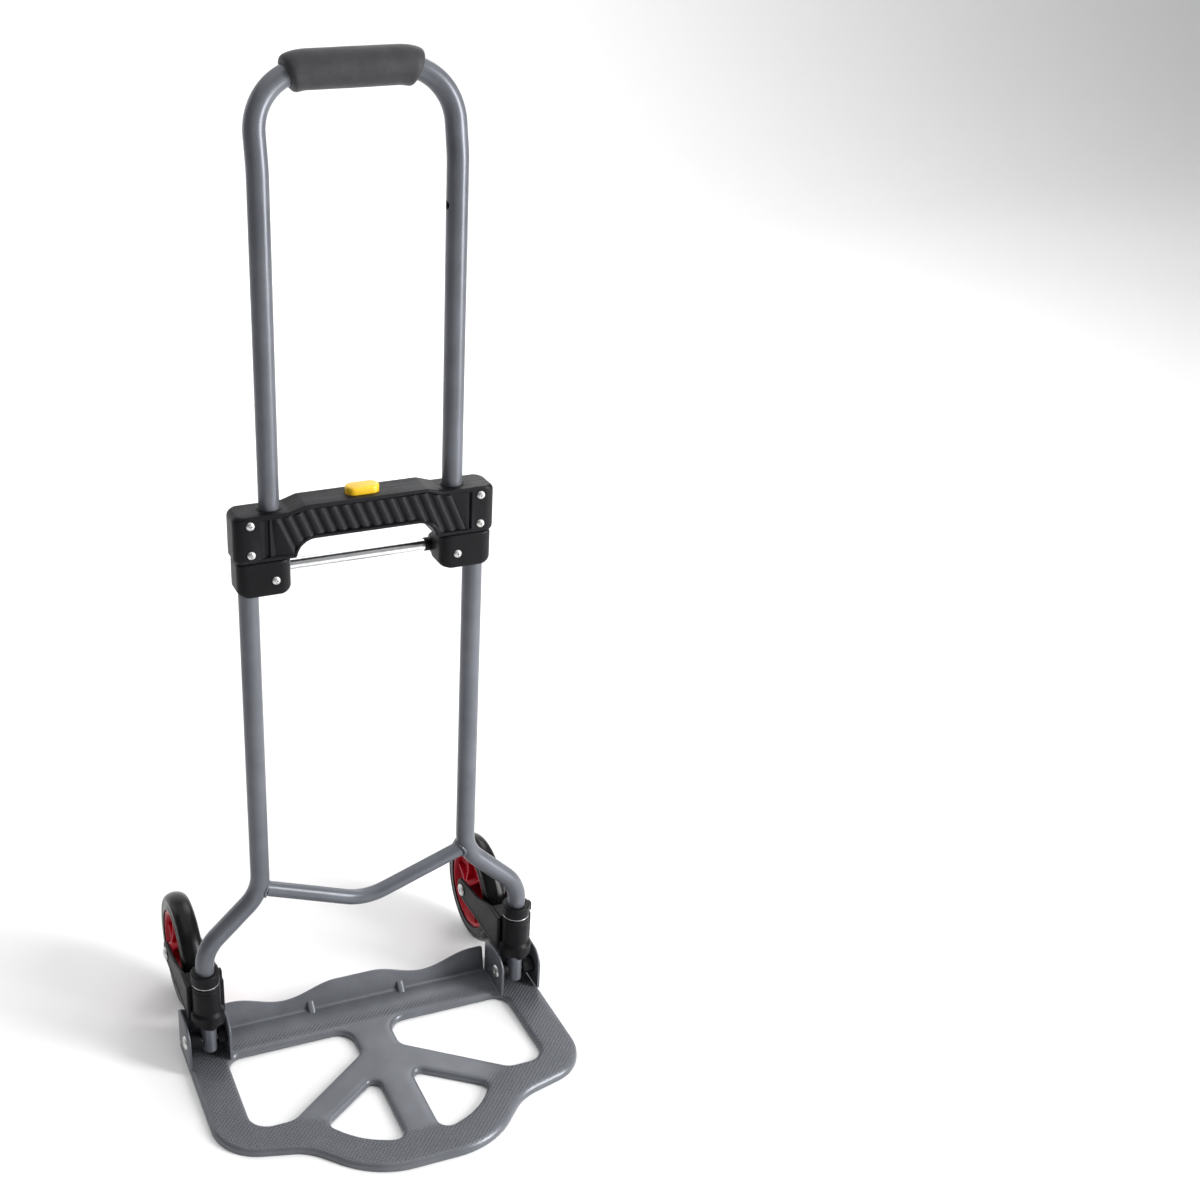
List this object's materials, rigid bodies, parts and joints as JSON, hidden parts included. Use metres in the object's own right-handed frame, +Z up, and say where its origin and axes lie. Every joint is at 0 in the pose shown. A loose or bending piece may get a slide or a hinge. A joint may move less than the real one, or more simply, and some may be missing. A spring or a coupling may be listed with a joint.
{
  "type": "folding hand truck",
  "caption": "Folding hand truck: sliding tube handle with foam grip and release button, fold-up toe plate, wheels that swing in flat.",
  "frame": {"origin": "on the floor, under the middle of the standing truck's bounding box", "axes": "+X to the truck's right as seen from the load side, -Y towards the toe plate's front, +Y towards the wheels, +Z up"},
  "size_m": [0.3946, 0.376, 0.9913],
  "materials": {
    "frame_paint": "silver-grey hammertone-smooth paint, satin",
    "plate_paint": "silver-grey paint over pressed sheet, fine anti-slip texture",
    "black_plastic": "moulded black plastic, fine grain",
    "zinc": "zinc plated",
    "spring_steel": "drawn spring wire",
    "chrome_rod": "bright chrome",
    "foam": "closed-cell foam, soft matte",
    "yellow_plastic": "moulded yellow plastic",
    "tyre_rubber": "solid black rubber",
    "red_plastic": "moulded dark red plastic"
  },
  "bodies": {
    "frame": {"left_side_tube": "frame_paint", "right_side_tube": "frame_paint", "cross_tube": "frame_paint", "crossbar_front": "black_plastic", "crossbar_rear": "black_plastic", "crossbar_screws": "zinc", "left_guide_bush": "black_plastic", "right_guide_bush": "black_plastic", "button_spring": "spring_steel", "left_pin_spring": "spring_steel", "right_pin_spring": "spring_steel", "left_collar_cap": "black_plastic", "right_collar_cap": "black_plastic"},
    "handle": {"handle_tube": "frame_paint", "foam_grip": "foam", "left_slider_front": "black_plastic", "left_slider_rear": "black_plastic", "right_slider_front": "black_plastic", "right_slider_rear": "black_plastic", "slider_screws": "zinc", "tie_rod": "chrome_rod"},
    "button": {"release_button": "yellow_plastic"},
    "left_pin": {"left_lock_pin": "zinc"},
    "right_pin": {"right_lock_pin": "zinc"},
    "plate": {"toe_plate": "plate_paint", "left_ear_bracket": "plate_paint", "right_ear_bracket": "plate_paint", "left_pivot_bolt": "zinc", "right_pivot_bolt": "zinc", "pivot_spacers": "black_plastic"},
    "left_fork": {"left_wheel_bracket": "black_plastic", "left_axle": "zinc"},
    "right_fork": {"right_wheel_bracket": "black_plastic", "right_axle": "zinc"},
    "left_wheel": {"left_tyre": "tyre_rubber", "left_hub": "red_plastic"},
    "right_wheel": {"right_tyre": "tyre_rubber", "right_hub": "red_plastic"}
  },
  "joints": [
    {"name": "handle_slide", "type": "slide", "parent": "frame", "child": "handle", "axis": [0, 0, -1], "range_m": [0, 0.268]},
    {"name": "button_press", "type": "slide", "parent": "frame", "child": "button", "axis": [0, 0, -1], "range_m": [0, 0.005], "stiffness_N_per_m": 300, "springref_m": -0.006, "deforming": ["button_spring"]},
    {"name": "left_pin_slide", "type": "slide", "parent": "frame", "child": "left_pin", "axis": [1, 0, 0], "range_m": [0, 0.005], "deforming": ["left_pin_spring"]},
    {"name": "right_pin_slide", "type": "slide", "parent": "frame", "child": "right_pin", "axis": [-1, 0, 0], "range_m": [0, 0.005], "deforming": ["right_pin_spring"]},
    {"name": "plate_fold", "type": "hinge", "parent": "frame", "child": "plate", "pos_m": [0, 0.0215, 0.0305], "axis": [-1, 0, 0], "range_deg": [0, 90]},
    {"name": "left_fork_swing", "type": "hinge", "parent": "frame", "child": "left_fork", "pos_m": [-0.1705, 0.0215, 0.08], "axis": [0, 0, -1], "range_deg": [0, 90]},
    {"name": "right_fork_swing", "type": "hinge", "parent": "frame", "child": "right_fork", "pos_m": [0.1705, 0.0215, 0.08], "axis": [0, 0, 1], "range_deg": [0, 90]},
    {"name": "left_wheel_spin", "type": "hinge", "parent": "left_fork", "child": "left_wheel", "pos_m": [-0.1705, 0.1255, 0.0665], "axis": [1, 0, 0], "continuous": true},
    {"name": "right_wheel_spin", "type": "hinge", "parent": "right_fork", "child": "right_wheel", "pos_m": [0.1705, 0.1255, 0.0665], "axis": [1, 0, 0], "continuous": true}
  ],
  "couplings": [
    {"joint": "left_pin_slide", "follows": "button_press", "ratio": 1},
    {"joint": "right_pin_slide", "follows": "button_press", "ratio": 1},
    {"joint": "left_fork_swing", "follows": "plate_fold", "ratio": 1},
    {"joint": "right_fork_swing", "follows": "plate_fold", "ratio": 1}
  ]
}
